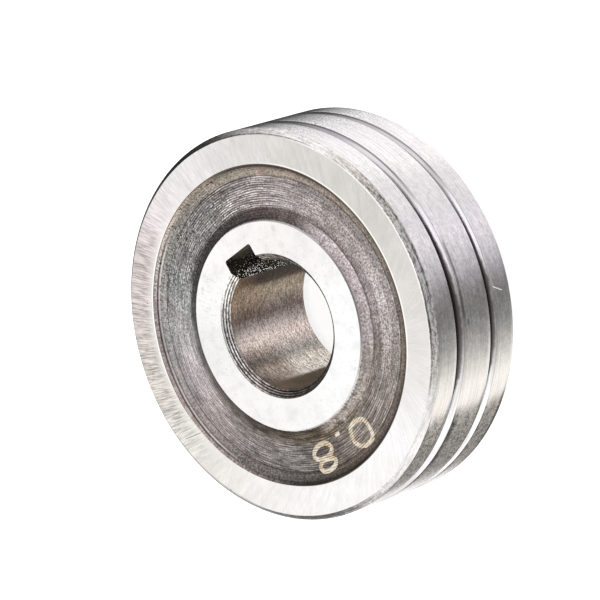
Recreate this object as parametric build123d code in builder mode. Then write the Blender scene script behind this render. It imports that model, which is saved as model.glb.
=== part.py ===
"""Wire feed roller: one piece of hardened steel that pushes welding wire through a feeder.

A short turned ring with two V grooves for the wire, a keyed bore for the drive shaft and a
shallow ring-shaped recess in both faces. Millimetres, +Z along the bore axis. The roller lies on
its back face, and the origin is the centre of that face. The keyway points along +X.
"""
from build123d import *
from math import radians, tan
import os

# Blank
outer_diameter = 30.0
width = 10.0

# Bore and keyway, for a 10 mm shaft with a 3 mm key
bore_diameter = 10.0
keyway_width = 3.0
keyway_depth = 1.4
keyway_corner_radius = 0.2

# Chamfers: the two ends were turned in separate settings, so they differ a little
front_rim_chamfer = 0.45
back_rim_chamfer = 0.6
front_bore_chamfer = 0.55
back_bore_chamfer = 0.85

# Recess in both faces, between the hub ring and the rim ring
hub_diameter = 16.0
recess_diameter = 24.5
recess_depth = 0.55
recess_draft_angle = 30.0
recess_floor_radius = 1.0

# V grooves: the wide one is the nearer to the front face
groove_angle = 60.0
wide_groove_mouth = 0.92
wide_groove_from_front = 3.0
narrow_groove_mouth = 0.74
narrow_groove_from_back = 3.0
groove_root_flat = 0.1
groove_edge_break = 0.04

outer_radius = outer_diameter / 2
bore_radius = bore_diameter / 2
hub_radius = hub_diameter / 2
recess_radius = recess_diameter / 2

# The recess walls lean by the draft, so the floor is narrower than the mouth
draft_run = recess_depth * tan(radians(recess_draft_angle))
floor_inner_radius = hub_radius + draft_run
floor_outer_radius = recess_radius - draft_run

# End corners of the half-section: radius, height and chamfer
end_corners = (
    (outer_radius, width, front_rim_chamfer),
    (outer_radius, 0, back_rim_chamfer),
    (bore_radius, width, front_bore_chamfer),
    (bore_radius, 0, back_bore_chamfer),
)

# Grooves: width of the mouth and height of the middle
grooves = (
    (wide_groove_mouth, width - wide_groove_from_front),
    (narrow_groove_mouth, narrow_groove_from_back),
)


def corner(sketch, x, y):
    """The corner of a sketch that lies nearest to a point of its plane."""
    return sketch.vertices().sort_by_distance((x, y))[0]


with BuildPart() as feed_roller:
    # Half-section of the turned body, drawn with the radius along X and the height along Z
    with BuildSketch(Plane.XZ) as half_section:
        with Locations((bore_radius, 0)):
            Rectangle(outer_radius - bore_radius, width, align=(Align.MIN, Align.MIN))
        for radius, height, chamfer_length in end_corners:
            chamfer(corner(half_section, radius, height), chamfer_length)

        # V grooves in the rolling surface, with a narrow flat root and broken mouth edges
        for mouth, height in grooves:
            flank_run = (mouth - groove_root_flat) / 2
            root_radius = outer_radius - flank_run / tan(radians(groove_angle / 2))
            upper_lip = (outer_radius, height + mouth / 2)
            lower_lip = (outer_radius, height - mouth / 2)
            with BuildLine():
                Polyline(
                    upper_lip,
                    (root_radius, height + groove_root_flat / 2),
                    (root_radius, height - groove_root_flat / 2),
                    lower_lip,
                    close=True,
                )
            make_face(mode=Mode.SUBTRACT)
            chamfer(corner(half_section, *upper_lip), groove_edge_break)
            chamfer(corner(half_section, *lower_lip), groove_edge_break)

        # Recess in each face, with drafted walls that run into the floor on large fillets
        for face_height, floor_height in ((width, width - recess_depth), (0, recess_depth)):
            inner_corner = (floor_inner_radius, floor_height)
            outer_corner = (floor_outer_radius, floor_height)
            with BuildLine():
                Polyline(
                    (hub_radius, face_height),
                    inner_corner,
                    outer_corner,
                    (recess_radius, face_height),
                    close=True,
                )
            make_face(mode=Mode.SUBTRACT)
            fillet(corner(half_section, *inner_corner), recess_floor_radius)
            fillet(corner(half_section, *outer_corner), recess_floor_radius)
    revolve(axis=Axis.Z)

    # Keyway, broached through the whole width
    with BuildSketch() as keyway_section:
        Rectangle(bore_radius + keyway_depth, keyway_width, align=(Align.MIN, Align.CENTER))
        fillet(keyway_section.vertices().group_by(Axis.X)[-1], keyway_corner_radius)
    extrude(amount=width, mode=Mode.SUBTRACT)

feed_roller.part.label = "feed_roller"

os.makedirs("parts", exist_ok=True)
export_step(feed_roller.part, "parts/feed_roller.step")
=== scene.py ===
"""Looks of the wire feed roller: the dressed steel body, its size mark, the studio and the camera.

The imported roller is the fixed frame. A finer mesh of the same form stands for it, with small edge
roundings, tool rings and a rough keyway, and with one finish for each machined zone. Lengths are
in millimetres and turn into metres where a mesh is made. Angles, unless they are named otherwise,
are degrees round the bore as read on the photograph: 0 at the bottom, 90 on the right.
"""
import math

import bmesh
import bpy
import numpy as np
from mathutils import Matrix, Vector, noise


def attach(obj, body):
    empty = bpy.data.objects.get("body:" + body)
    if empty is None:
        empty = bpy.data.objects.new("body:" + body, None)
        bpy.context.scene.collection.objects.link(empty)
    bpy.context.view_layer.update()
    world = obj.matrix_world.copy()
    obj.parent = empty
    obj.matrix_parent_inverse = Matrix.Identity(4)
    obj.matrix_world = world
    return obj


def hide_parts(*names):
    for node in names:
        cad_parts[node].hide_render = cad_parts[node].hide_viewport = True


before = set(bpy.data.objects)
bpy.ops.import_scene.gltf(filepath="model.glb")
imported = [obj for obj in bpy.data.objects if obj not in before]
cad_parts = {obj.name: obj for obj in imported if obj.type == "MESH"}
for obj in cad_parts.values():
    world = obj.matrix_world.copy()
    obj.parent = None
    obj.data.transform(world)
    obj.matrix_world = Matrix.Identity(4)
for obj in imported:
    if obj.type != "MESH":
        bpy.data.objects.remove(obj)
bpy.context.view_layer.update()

MM = 0.001
KEYWAY_ANGLE = 194.8


def turned(photo_angle):
    """Angle about the bore, in radians from the keyway, of an angle read on the photograph."""
    return math.radians(photo_angle - KEYWAY_ANGLE)


# Form of the roller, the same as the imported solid; the outside stays just inside its box. DRAFT is
# how far the walls of the recess lean off the axis.
WIDTH = 10.0
OUTER_RADIUS = 14.995
BORE_RADIUS = 5.0
HUB_RADIUS = 8.0
RECESS_RADIUS = 12.25
RECESS_DEPTH = 0.55
DRAFT = math.radians(30.0)
RECESS_RUN = RECESS_DEPTH * math.tan(DRAFT)
FILLET = 1.0
FRONT_RIM = 0.45
BACK_RIM = 0.6
FRONT_LEAD = 0.55
BACK_LEAD = 0.85

# V grooves: height of the middle and half the mouth, the flank's lean and half the flat root.
WIDE_GROOVE = (7.0, 0.46)
NARROW_GROOVE = (3.0, 0.37)
FLANK_ANGLE = math.radians(30.0)
ROOT_HALF = 0.05

# Keyway: half its width, its end wall and the radius of its inner corners.
KEY_HALF = 1.5
KEY_FLOOR = 6.4
KEY_CORNER = 0.2

# Rounding of the turned edges, arc steps of a rounding and a fillet, and steps round the body.
EDGE = 0.04
EDGE_STEPS = 3
FILLET_STEPS = 8
STEPS = 504

ZONES = ("bore", "lead", "hub", "recess", "rim", "chamfer", "land", "groove", "back", "keyway")

# Tool rings of the front lead-in: pitch, first ring, depth and the share of it along each axis.
LEAD_PITCH = 0.15
LEAD_START = 0.0125
LEAD_RING_DEPTH = 0.02
LEAD_LEAN = 0.7

# Cutter of the keyway: where it starts inside the bore, how far it stands out of both faces, the
# divisions of its sides, corners and end, its levels, and the depth of its roughness and its cells
# to the millimetre across and along the bore. What lies within TOUCH of a side counts as on it.
CUTTER_START = 2.0
CUTTER_OVERHANG = 0.5
SIDE_STEPS = 29
CORNER_STEPS = 4
END_STEPS = 20
CUTTER_LEVELS = 80
CUTTER_ROUGHNESS = 0.02
CELLS_ACROSS = 5.0
CELLS_ALONG = 3.0
TOUCH = 0.01


def groove_depth(half_mouth):
    """Depth of a groove with a small flat root."""
    return (half_mouth - ROOT_HALF) / math.tan(FLANK_ANGLE)


def section():
    """Corners of the half-section: radius, height, rounding, and zone and divisions of what follows."""
    floor_in = HUB_RADIUS + RECESS_RUN
    floor_out = RECESS_RADIUS - RECESS_RUN
    front_floor = WIDTH - RECESS_DEPTH
    rows = [
        (BORE_RADIUS, BACK_LEAD, EDGE, "bore", 12),
        (BORE_RADIUS, WIDTH - FRONT_LEAD, EDGE, "lead", 18),
        (BORE_RADIUS + FRONT_LEAD, WIDTH, EDGE, "hub", 6),
        (HUB_RADIUS, WIDTH, EDGE, "recess", 1),
        (floor_in, front_floor, FILLET, "recess", 8),
        (floor_out, front_floor, FILLET, "recess", 1),
        (RECESS_RADIUS, WIDTH, EDGE, "rim", 6),
        (OUTER_RADIUS - FRONT_RIM, WIDTH, EDGE, "chamfer", 5),
        (OUTER_RADIUS, WIDTH - FRONT_RIM, EDGE, "land", 5),
    ]
    for (height, half), divisions in ((WIDE_GROOVE, 8), (NARROW_GROOVE, 5)):
        root = OUTER_RADIUS - groove_depth(half)
        rows += [
            (OUTER_RADIUS, height + half, EDGE, "groove", 3),
            (root, height + ROOT_HALF, 0.0, "groove", 1),
            (root, height - ROOT_HALF, 0.0, "groove", 3),
            (OUTER_RADIUS, height - half, EDGE, "land", divisions),
        ]
    rows += [
        (OUTER_RADIUS, BACK_RIM, EDGE, "chamfer", 2),
        (OUTER_RADIUS - BACK_RIM, 0.0, EDGE, "back", 4),
        (RECESS_RADIUS, 0.0, EDGE, "recess", 1),
        (floor_out, RECESS_DEPTH, FILLET, "recess", 6),
        (floor_in, RECESS_DEPTH, FILLET, "recess", 1),
        (HUB_RADIUS, 0.0, EDGE, "back", 4),
        (BORE_RADIUS + BACK_LEAD, 0.0, EDGE, "lead", 3),
    ]
    return rows


def turn_between(into, out):
    """Angle between two directions of the half-section."""
    return math.acos(float(np.clip(into @ out, -1.0, 1.0)))


def rounded(rows):
    """Points of the half-section, with each corner turned into an arc, and the zone after each point."""
    corners = [np.array(row[:2]) for row in rows]
    points, zones = [], []
    count = len(rows)
    for i, (_, _, radius, zone, divisions) in enumerate(rows):
        here, before, after = corners[i], corners[i - 1], corners[(i + 1) % count]
        into = (here - before) / np.linalg.norm(here - before)
        out = (after - here) / np.linalg.norm(after - here)
        turn = turn_between(into, out)
        if radius > 0.0:
            reach = radius * math.tan(turn / 2.0)
            steps = FILLET_STEPS if radius == FILLET else EDGE_STEPS
            side = np.array([-into[1], into[0]])
            if side @ out < 0.0:
                side = -side
            centre = here - into * reach + side * radius
            start = here - into * reach - centre
            sign = math.copysign(1.0, start[0] * out[1] - start[1] * out[0])
            for k in range(steps + 1):
                t = sign * turn * k / steps
                c, s = math.cos(t), math.sin(t)
                points.append(centre + np.array([c * start[0] - s * start[1], s * start[0] + c * start[1]]))
                zones.append(zone if k * 2 >= steps else rows[i - 1][3])
            first = here + out * reach
        else:
            points.append(here)
            zones.append(zone)
            first = here
        next_radius = rows[(i + 1) % count][2]
        last = after
        if next_radius > 0.0:
            beyond = corners[(i + 2) % count] - after
            beyond /= np.linalg.norm(beyond)
            last = after - out * next_radius * math.tan(turn_between(out, beyond) / 2.0)
        for k in range(1, divisions):
            points.append(first + (last - first) * k / divisions)
            zones.append(zone)
    return np.array(points), zones


def mesh_of(name, verts, faces):
    """Mesh in metres from points in millimetres."""
    mesh = bpy.data.meshes.new(name)
    mesh.from_pydata([(x * MM, y * MM, z * MM) for x, y, z in verts], [], faces)
    mesh.update()
    return mesh


def body_mesh():
    """The revolved body, with tool rings in the front lead-in and a finish's place for each face."""
    points, zones = rounded(section())
    count = len(points)
    radius, height = points[:, 0].copy(), points[:, 1].copy()
    lead = np.array([z == "lead" for z in zones]) & (height > WIDTH / 2)
    along = (radius - BORE_RADIUS) / FRONT_LEAD
    turns = (radius - BORE_RADIUS - LEAD_START) / LEAD_PITCH
    ring = LEAD_RING_DEPTH * np.sin(turns * math.tau) * np.clip(4 * along * (1 - along), 0, 1) ** 0.5
    radius[lead] += ring[lead] * LEAD_LEAN
    height[lead] -= ring[lead] * LEAD_LEAN
    verts = np.zeros((STEPS, count, 3))
    for i, a in enumerate(np.arange(STEPS) * math.tau / STEPS):
        verts[i, :, 0] = radius * math.cos(a)
        verts[i, :, 1] = radius * math.sin(a)
        verts[i, :, 2] = height
    faces, slots = [], []
    for i in range(STEPS):
        n = (i + 1) % STEPS
        for j in range(count):
            k = (j + 1) % count
            faces.append((i * count + j, n * count + j, n * count + k, i * count + k))
            slots.append(ZONES.index(zones[j]))
    mesh = mesh_of("roller_body", verts.reshape(-1, 3), faces)
    mesh.polygons.foreach_set("material_index", slots)
    return mesh


def cutter_outline():
    """Outline of the keyway's cutter, seen along the bore."""
    corner_x, corner_y = KEY_FLOOR - KEY_CORNER, KEY_HALF - KEY_CORNER
    lower = [(x, -KEY_HALF) for x in np.linspace(CUTTER_START, corner_x, SIDE_STEPS + 1)]
    for k in range(1, CORNER_STEPS):
        t = math.pi / 2 * k / CORNER_STEPS
        lower.append((corner_x + KEY_CORNER * math.sin(t), -corner_y - KEY_CORNER * math.cos(t)))
    end = [(KEY_FLOOR, y) for y in np.linspace(-corner_y, corner_y, END_STEPS + 1)]
    return lower + end + [(x, -y) for x, y in reversed(lower)]


def keyway_cutter():
    """A rough-walled bar that cuts the keyway."""
    outline = cutter_outline()
    levels = np.linspace(-CUTTER_OVERHANG, WIDTH + CUTTER_OVERHANG, CUTTER_LEVELS)
    verts, faces = [], []
    for z in levels:
        for x, y in outline:
            spot = Vector((x * CELLS_ACROSS, y * CELLS_ACROSS, z * CELLS_ALONG))
            rough = abs(CUTTER_ROUGHNESS * noise.noise(spot))
            on_side, on_end = abs(y) > KEY_HALF - TOUCH, x > KEY_FLOOR - KEY_CORNER
            verts.append((x - rough * on_end, y + math.copysign(rough, y) * on_side, z))
    n = len(outline)
    for i in range(len(levels) - 1):
        for j in range(n):
            k = (j + 1) % n
            faces.append((i * n + j, i * n + k, (i + 1) * n + k, (i + 1) * n + j))
    faces.append(tuple(range(n))[::-1])
    faces.append(tuple((len(levels) - 1) * n + j for j in range(n)))
    return mesh_of("keyway_cutter", verts, faces)


def as_colour(value):
    """Four channels from a grey or a colour; a socket passes as it is."""
    if isinstance(value, bpy.types.NodeSocket):
        return value
    if isinstance(value, (int, float)):
        value = (value,) * 3
    return tuple(value) + (1.0,)


class Net:
    """A node tree with short calls for the nodes that the finishes use."""

    def __init__(self, tree):
        self.tree = tree
        tree.nodes.clear()

    def node(self, kind, **settings):
        made = self.tree.nodes.new(kind)
        for name, value in settings.items():
            setattr(made, name, value)
        return made

    def put(self, socket, value):
        if isinstance(value, bpy.types.NodeSocket):
            self.tree.links.new(value, socket)
        else:
            socket.default_value = value

    def fed(self, kind, inputs, **settings):
        """First output of a new node whose inputs are given by name or by number."""
        made = self.node(kind, **settings)
        for name, value in inputs.items():
            self.put(made.inputs[name], value)
        return made.outputs[0]

    def math(self, operation, *values):
        return self.fed("ShaderNodeMath", dict(enumerate(values)), operation=operation)

    def chain(self, operation, values):
        total = values[0]
        for value in values[1:]:
            total = self.math(operation, total, value)
        return total

    def times(self, *values):
        return self.chain("MULTIPLY", values)

    def plus(self, *values):
        return self.chain("ADD", values)

    def most(self, *values):
        return self.chain("MAXIMUM", values)

    def minus(self, a, b):
        return self.math("SUBTRACT", a, b)

    def swayed(self, value, wave, amount):
        """Value that a noise about one half pushes up and down."""
        return self.plus(value, self.times(self.minus(wave, 0.5), amount))

    def vector(self, operation, a, b=None):
        made = self.node("ShaderNodeVectorMath", operation=operation)
        self.put(made.inputs[0], a)
        if b is not None:
            self.put(made.inputs[1], b)
        return made.outputs["Value" if operation in ("LENGTH", "DOT_PRODUCT") else "Vector"]

    def split(self, vector, axis):
        made = self.node("ShaderNodeSeparateXYZ")
        self.put(made.inputs[0], vector)
        return made.outputs[axis]

    def upright(self, z):
        """Vector along the bore axis."""
        return self.fed("ShaderNodeCombineXYZ", {0: 0.0, 1: 0.0, 2: z})

    def smooth(self, value, low, high, at_low=0.0, at_high=1.0):
        """Soft step from one number at `low` to another at `high`."""
        inputs = {"Value": value, "From Min": low, "From Max": high, "To Min": at_low, "To Max": at_high}
        return self.fed("ShaderNodeMapRange", inputs, interpolation_type="SMOOTHSTEP")

    def noise(self, vector, detail, roughness, distortion=0.0, scale=1.0):
        inputs = {"Vector": vector, "Scale": scale, "Detail": detail, "Roughness": roughness,
                  "Distortion": distortion}
        return self.fed("ShaderNodeTexNoise", inputs)

    def ramp(self, factor, stops):
        """Colour ramp; each stop is its position and then a grey or three channels."""
        made = self.node("ShaderNodeValToRGB")
        elements = made.color_ramp.elements
        elements.remove(elements[1])
        for i, (position, *channels) in enumerate(stops):
            element = elements.new(position) if i else elements[0]
            element.position = position
            element.color = as_colour(channels[0] if len(channels) == 1 else channels)
        self.put(made.inputs[0], factor)
        return made.outputs[0]

    def mix(self, share, a, b, blend="MIX"):
        made = self.node("ShaderNodeMix", data_type="RGBA", blend_type=blend, clamp_result=False)
        for number, value in ((0, share), (6, as_colour(a)), (7, as_colour(b))):
            self.put(made.inputs[number], value)
        return made.outputs[2]

    def tinted(self, colour, by, share=1.0):
        """Colour multiplied by another, over a share."""
        return self.mix(share, colour, by, "MULTIPLY")


# Angle and distance from the bore axis of the point that the front face's strokes fan out from.
FAN_POINT = (68.0, 9.4)

# How far the colours round the bore sway to and fro, in degrees.
WOBBLE = 6.0

# How many times its base colour a face shows when it mirrors the bright side of the studio.
FACE_GAIN = 1.33


class Finish(Net):
    """A steel finish with round-the-bore coordinates in millimetres and one running colour."""

    def __init__(self, name):
        self.material = bpy.data.materials.new(name)
        self.material.use_nodes = True
        super().__init__(self.material.node_tree)
        place = self.node("ShaderNodeTexCoord").outputs["Object"]
        self.place = self.vector("MULTIPLY", place, (1 / MM,) * 3)
        self.flat = self.vector("MULTIPLY", self.place, (1.0, 1.0, 0.0))
        self.r = self.vector("LENGTH", self.flat)
        self.unit = self.vector("NORMALIZE", self.flat)
        self.z = self.split(self.place, 2)
        angle = self.math("ARCTAN2", self.split(self.unit, 1), self.split(self.unit, 0))
        angle = self.plus(self.times(angle, 180.0 / math.pi), KEYWAY_ANGLE)
        self.angle = self.times(self.math("FRACT", self.math("DIVIDE", angle, 360.0)), 360.0)
        swayed = self.swayed(angle, self.cloud(0.7, 2, 0.6), WOBBLE)
        self.part = self.math("FRACT", self.math("DIVIDE", swayed, 360.0))

    def around(self, stops, read=None):
        """Colour that changes smoothly round the bore, named at angles."""
        rows = [(angle / 360.0, *(read(*colour) if read else colour)) for angle, *colour in stops]
        return self.ramp(self.part, rows + [(1.0, *rows[0][1:])])

    def level(self, stops):
        """Number that changes smoothly round the bore, named at angles."""
        return self.fed("ShaderNodeSeparateColor", {0: self.around(stops)})

    def bandof(self, value, low, high, soft):
        """One between two values, falling to zero over `soft` on both sides."""
        return self.times(self.smooth(value, low - soft, low), self.smooth(value, high + soft, high))

    def band(self, low, high, soft):
        """One between two radii, falling to zero over `soft` on both sides."""
        return self.bandof(self.r, low, high, soft)

    def band_at(self, value, centre, half):
        """One at a value, falling to zero at `half` on both sides."""
        away = self.math("ABSOLUTE", self.minus(value, centre))
        return self.smooth(away, half, half * 0.4)

    def blend(self, factor, a, b):
        """Number that goes from `a` to `b` as the factor goes from zero to one."""
        return self.plus(a, self.times(factor, self.minus(b, a)))

    def beside(self, photo_angle, radius):
        """Flat vector to this place from a point of a face."""
        a = turned(photo_angle)
        return self.vector("SUBTRACT", self.flat, (radius * math.cos(a), radius * math.sin(a), 0.0))

    def dot(self, photo_angle, radius, size, strength):
        """A soft spot of a given size at an angle and radius of a face."""
        away = self.vector("LENGTH", self.beside(photo_angle, radius))
        return self.smooth(away, size, size * 0.4, 0.0, strength)

    def cloud(self, scale, detail, roughness, distortion=0.0):
        """Noise without a direction."""
        return self.noise(self.place, detail, roughness, distortion, scale)

    def cells(self, unit, around, along, across):
        spun = self.vector("MULTIPLY", unit, (around, around, 0.0))
        return self.vector("ADD", spun, self.upright(self.times(along, across)))

    def streaks(self, around, across, along, detail, roughness, distortion=0.0):
        """Noise of `around` cells to the radian about the bore and `across` to the millimetre."""
        return self.noise(self.cells(self.unit, around, along, across), detail, roughness, distortion)

    def strokes(self, around, across, detail, roughness, distortion):
        """Noise like `streaks`, but about the fan point of the front face."""
        away = self.beside(*FAN_POINT)
        place = self.cells(self.vector("NORMALIZE", away), around, self.vector("LENGTH", away), across)
        return self.noise(place, detail, roughness, distortion)

    def lobe(self, photo_angle, inner, outer):
        """One within `inner` degrees of an angle, falling to zero at `outer` degrees."""
        a = turned(photo_angle)
        near = self.vector("DOT_PRODUCT", self.unit, (math.cos(a), math.sin(a), 0.0))
        return self.smooth(near, math.cos(math.radians(outer)), math.cos(math.radians(inner)))

    def tint(self, by, *shares):
        """Multiplies the running colour by another, over the product of the shares."""
        self.colour = self.tinted(self.colour, by, self.times(*shares) if shares else 1.0)

    def cover(self, colour, *shares):
        """Lays a colour over the running one, over the product of the shares."""
        self.colour = self.mix(self.times(*shares), self.colour, colour)

    def bump(self, height, distance):
        return self.fed("ShaderNodeBump", {"Strength": 1.0, "Distance": distance * MM, "Height": height})

    def raised(self, normal, factor, amount):
        """Normal that leans upwards where the factor is one, as on a small rounded edge."""
        leaning = self.vector("ADD", normal, self.upright(self.times(factor, amount)))
        return self.vector("NORMALIZE", leaning)

    def steel(self, roughness, normal, anisotropic=0.0, across_grain=True, metallic=1.0, edge=None):
        """Material with the running colour; `edge` tints what mirrors at grazing angles."""
        made = self.node("ShaderNodeBsdfPrincipled")
        inputs = {"Metallic": metallic, "Base Color": self.colour, "Roughness": roughness, "Normal": normal}
        if edge is not None:
            inputs["Specular Tint"] = edge
        if anisotropic > 0.0:
            inputs["Anisotropic"] = anisotropic
            inputs["Anisotropic Rotation"] = 0.25 if across_grain else 0.0
            inputs["Tangent"] = self.node("ShaderNodeTangent", direction_type="RADIAL", axis="Z").outputs[0]
        for name, value in inputs.items():
            self.put(made.inputs[name], value)
        self.put(self.node("ShaderNodeOutputMaterial").inputs[0], made.outputs[0])
        return self.material


def seen(red, green, blue):
    """Base colour that shows as this screen colour on a face that mirrors the bright side."""
    return tuple(((c / 255.0 + 0.055) / 1.055) ** 2.4 / FACE_GAIN for c in (red, green, blue))


# Dark dots of the rim: angle, radius, size and strength.
RIM_DOTS = (
    (249, 12.93, 0.075, 0.8), (289, 12.71, 0.06, 0.7), (318.5, 14.5, 0.07, 0.8), (342, 13.3, 0.05, 0.5),
    (270.5, 13.9, 0.04, 0.5), (155, 13.6, 0.05, 0.4),
)

# A scratch across the rim: its angle, the radii of its ends and how far it leans to a millimetre.
SCRATCH_ANGLE = 299
SCRATCH_ENDS = (12.45, 13.9)
SCRATCH_LEAN = 0.45


def rim_marks(f):
    """The dots and the scratch of the rim."""
    for angle, radius, size, strength in RIM_DOTS:
        f.cover(seen(60, 52, 50), f.dot(angle, radius, size, strength))
    a = turned(SCRATCH_ANGLE)
    side = f.vector("DOT_PRODUCT", f.flat, (-math.sin(a), math.cos(a), 0))
    side = f.plus(side, f.times(f.minus(f.r, SCRATCH_ENDS[0]), SCRATCH_LEAN))
    line = f.times(f.bandof(side, -0.01, 0.01, 0.045), f.band(*SCRATCH_ENDS, 0.15))
    f.cover(seen(112, 102, 96), line, f.lobe(SCRATCH_ANGLE, 10, 12), 0.75)


def rim_finish():
    """Ground front face of the rim, worn to coarse bright strokes round its left side, with painted
    reflection round the bore and painted highlights and shade at its edges.
    """
    f = Finish("steel_rim")
    # Painted reflection: the base colour is lighter and darker round the bore as the face's reflections of
    # the studio are.
    tone_and_reflection = f.around([
        (0, 248, 247, 246), (40, 251, 250, 250), (60, 236, 232, 230), (85, 225, 222, 218),
        (120, 214, 211, 206), (150, 219, 216, 211), (175, 228, 224, 222), (200, 240, 236, 236),
        (218, 236, 229, 229), (236, 210, 200, 198), (255, 215, 207, 203), (285, 219, 214, 206),
        (300, 229, 226, 221), (320, 241, 238, 234), (340, 244, 241, 239),
    ], seen)
    fine = f.blend(f.lobe(262, 40, 56), f.streaks(118, 0.8, f.r, 2, 0.7, 0.25),
                   f.strokes(195, 0.8, 2, 0.7, 0.25))
    broad = f.strokes(44, 0.4, 2, 0.5, 0.6)
    cloud = f.cloud(0.55, 3, 0.6)
    worn = f.level([
        (0, 0.05), (20, 0.01), (140, 0.02), (175, 0.12), (210, 0.25), (226, 0.7), (242, 0.95), (285, 1),
        (299, 0.6), (306, 0.2), (320, 0.08),
    ])
    strokes = f.ramp(fine, [(0.38, 0.56), (0.46, 0.86), (0.52, 0.97), (0.6, 1.24)])
    f.colour = f.tinted(tone_and_reflection, strokes, worn)
    f.tint(f.ramp(broad, [(0.3, 0.94), (0.7, 1.05)]))
    f.tint(f.ramp(cloud, [(0.3, 0.92, 0.925, 0.92), (0.7, 1.06, 1.045, 1.05)]), 0.8)
    # The inner edge of the worn side is polished bright.
    polish = f.smooth(f.swayed(f.r, fine, 1.4), 13, 12.5)
    f.cover(seen(246, 243, 239), polish, f.lobe(258, 44, 60), 0.5)
    polish = f.smooth(f.swayed(f.r, fine, 0.5), 12.5, 12.43)
    f.cover((0.76, 0.75, 0.74), polish, f.lobe(250, 20, 38))
    f.cover(seen(120, 110, 104), f.smooth(f.cloud(3.4, 1, 0.5), 0.76, 0.8, 0, 0.35))
    rim_marks(f)
    # Painted highlights: bright lines along both edges on the right stand in for the glints of their small
    # roundings.
    f.cover((0.74, 0.73, 0.72), f.smooth(f.r, 14.47, 14.51), f.lobe(105, 32, 56), 0.9)
    f.cover((0.86, 0.84, 0.78), f.smooth(f.r, 12.5, 12.42), f.lobe(112, 40, 60), 0.7)
    # A faint dark hairline follows the outer edge low on the left.
    f.cover(seen(120, 112, 106), f.smooth(f.r, 14.44, 14.5), f.lobe(311, 10, 22), 0.45)
    # Painted shade: the first tenth of a millimetre, where the edge rolls over into the recess, is painted as
    # dark as the shaded wall.
    shaded_brow = f.minus(f.r, f.times(f.lobe(160, 18, 36), 0.02))
    shaded_brow = f.plus(shaded_brow, f.times(f.lobe(322, 20, 38), 0.06))
    f.cover((0.07, 0.06, 0.055), f.smooth(shaded_brow, 12.36, 12.31))
    rough = f.smooth(fine, 0.3, 0.7, 0.34, 0.24)
    lines = f.times(fine, f.plus(worn, 0.02))
    return f.steel(rough, f.bump(lines, 0.005), 0.3, across_grain=False)


def hub_finish():
    """Ground face of the hub ring, pale, with small specks, ticks and rings."""
    f = Finish("steel_hub")
    # Painted reflection: the base colour changes a little round the bore as the face's reflections do.
    tone_and_reflection = f.around([
        (0, 246, 245, 244), (40, 252, 252, 252), (100, 252, 252, 252), (140, 243, 240, 238),
        (165, 246, 243, 240), (215, 250, 248, 247), (240, 251, 250, 250), (270, 241, 239, 238),
        (300, 246, 245, 243), (330, 247, 245, 243),
    ], seen)
    cloud = f.cloud(0.9, 3, 0.65)
    f.colour = f.tinted(tone_and_reflection, f.ramp(cloud, [(0.32, 0.9, 0.895, 0.89), (0.5, 1), (0.7, 1.04)]), 0.9)
    speck = f.cloud(4.5, 2, 0.6)
    f.cover(seen(196, 190, 186), f.smooth(speck, 0.63, 0.72, 0, 0.6))
    ticks = f.streaks(45, 0.8, f.r, 3, 0.7, 0.4)
    rings = f.streaks(7, 3.2, f.r, 3, 0.7, 0.4)
    crossed = f.most(f.smooth(ticks, 0.57, 0.68), f.smooth(rings, 0.6, 0.7))
    where = f.times(f.lobe(255, 12, 42), f.band(6.1, 7.6, 0.4))
    f.cover(seen(196, 190, 186), crossed, f.plus(f.times(where, 0.4), 0.05))
    f.cover(seen(180, 178, 165), f.dot(160, 7.55, 0.3, 0.28))
    f.cover(seen(214, 184, 176), f.dot(153.5, 6.4, 0.4, 0.2))
    fine = f.streaks(10, 9, f.r, 3, 0.6)
    return f.steel(0.3, f.bump(fine, 0.003), 0.3)


# Distance between the feed lines of the recess's facing cut.
FACING_PITCH = 0.172

# Single lines along the recess's outer fillet and wall, painted glints and painted shade: inner and
# outer radius, middle angle, reach at full strength and at none, strength and shade.
FILLET_GLINT_AND_SHADE_LINES = (
    (11.96, 12.015, 268, 34, 52, 1, (250, 244, 241)),
    (12.075, 12.105, 268, 34, 54, 0.7, (70, 62, 64)),
    (11.9, 11.925, 285, 18, 32, 0.6, (92, 84, 84)),
    (12.05, 12.2, 105, 42, 66, 0.6, (66, 56, 46)),
    (11.55, 11.62, 30, 26, 60, 0.35, (148, 134, 124)),
    (12.16, 12.3, 158, 18, 32, 0.6, (44, 38, 34)),
)


def facing_feed(f):
    """Wave over the feed lines of the facing cut, which drift a little."""
    drift = f.streaks(3, 1.3, f.r, 2, 0.6)
    return f.math("SINE", f.plus(f.times(f.r, math.tau / FACING_PITCH), f.times(drift, 9)))


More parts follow.
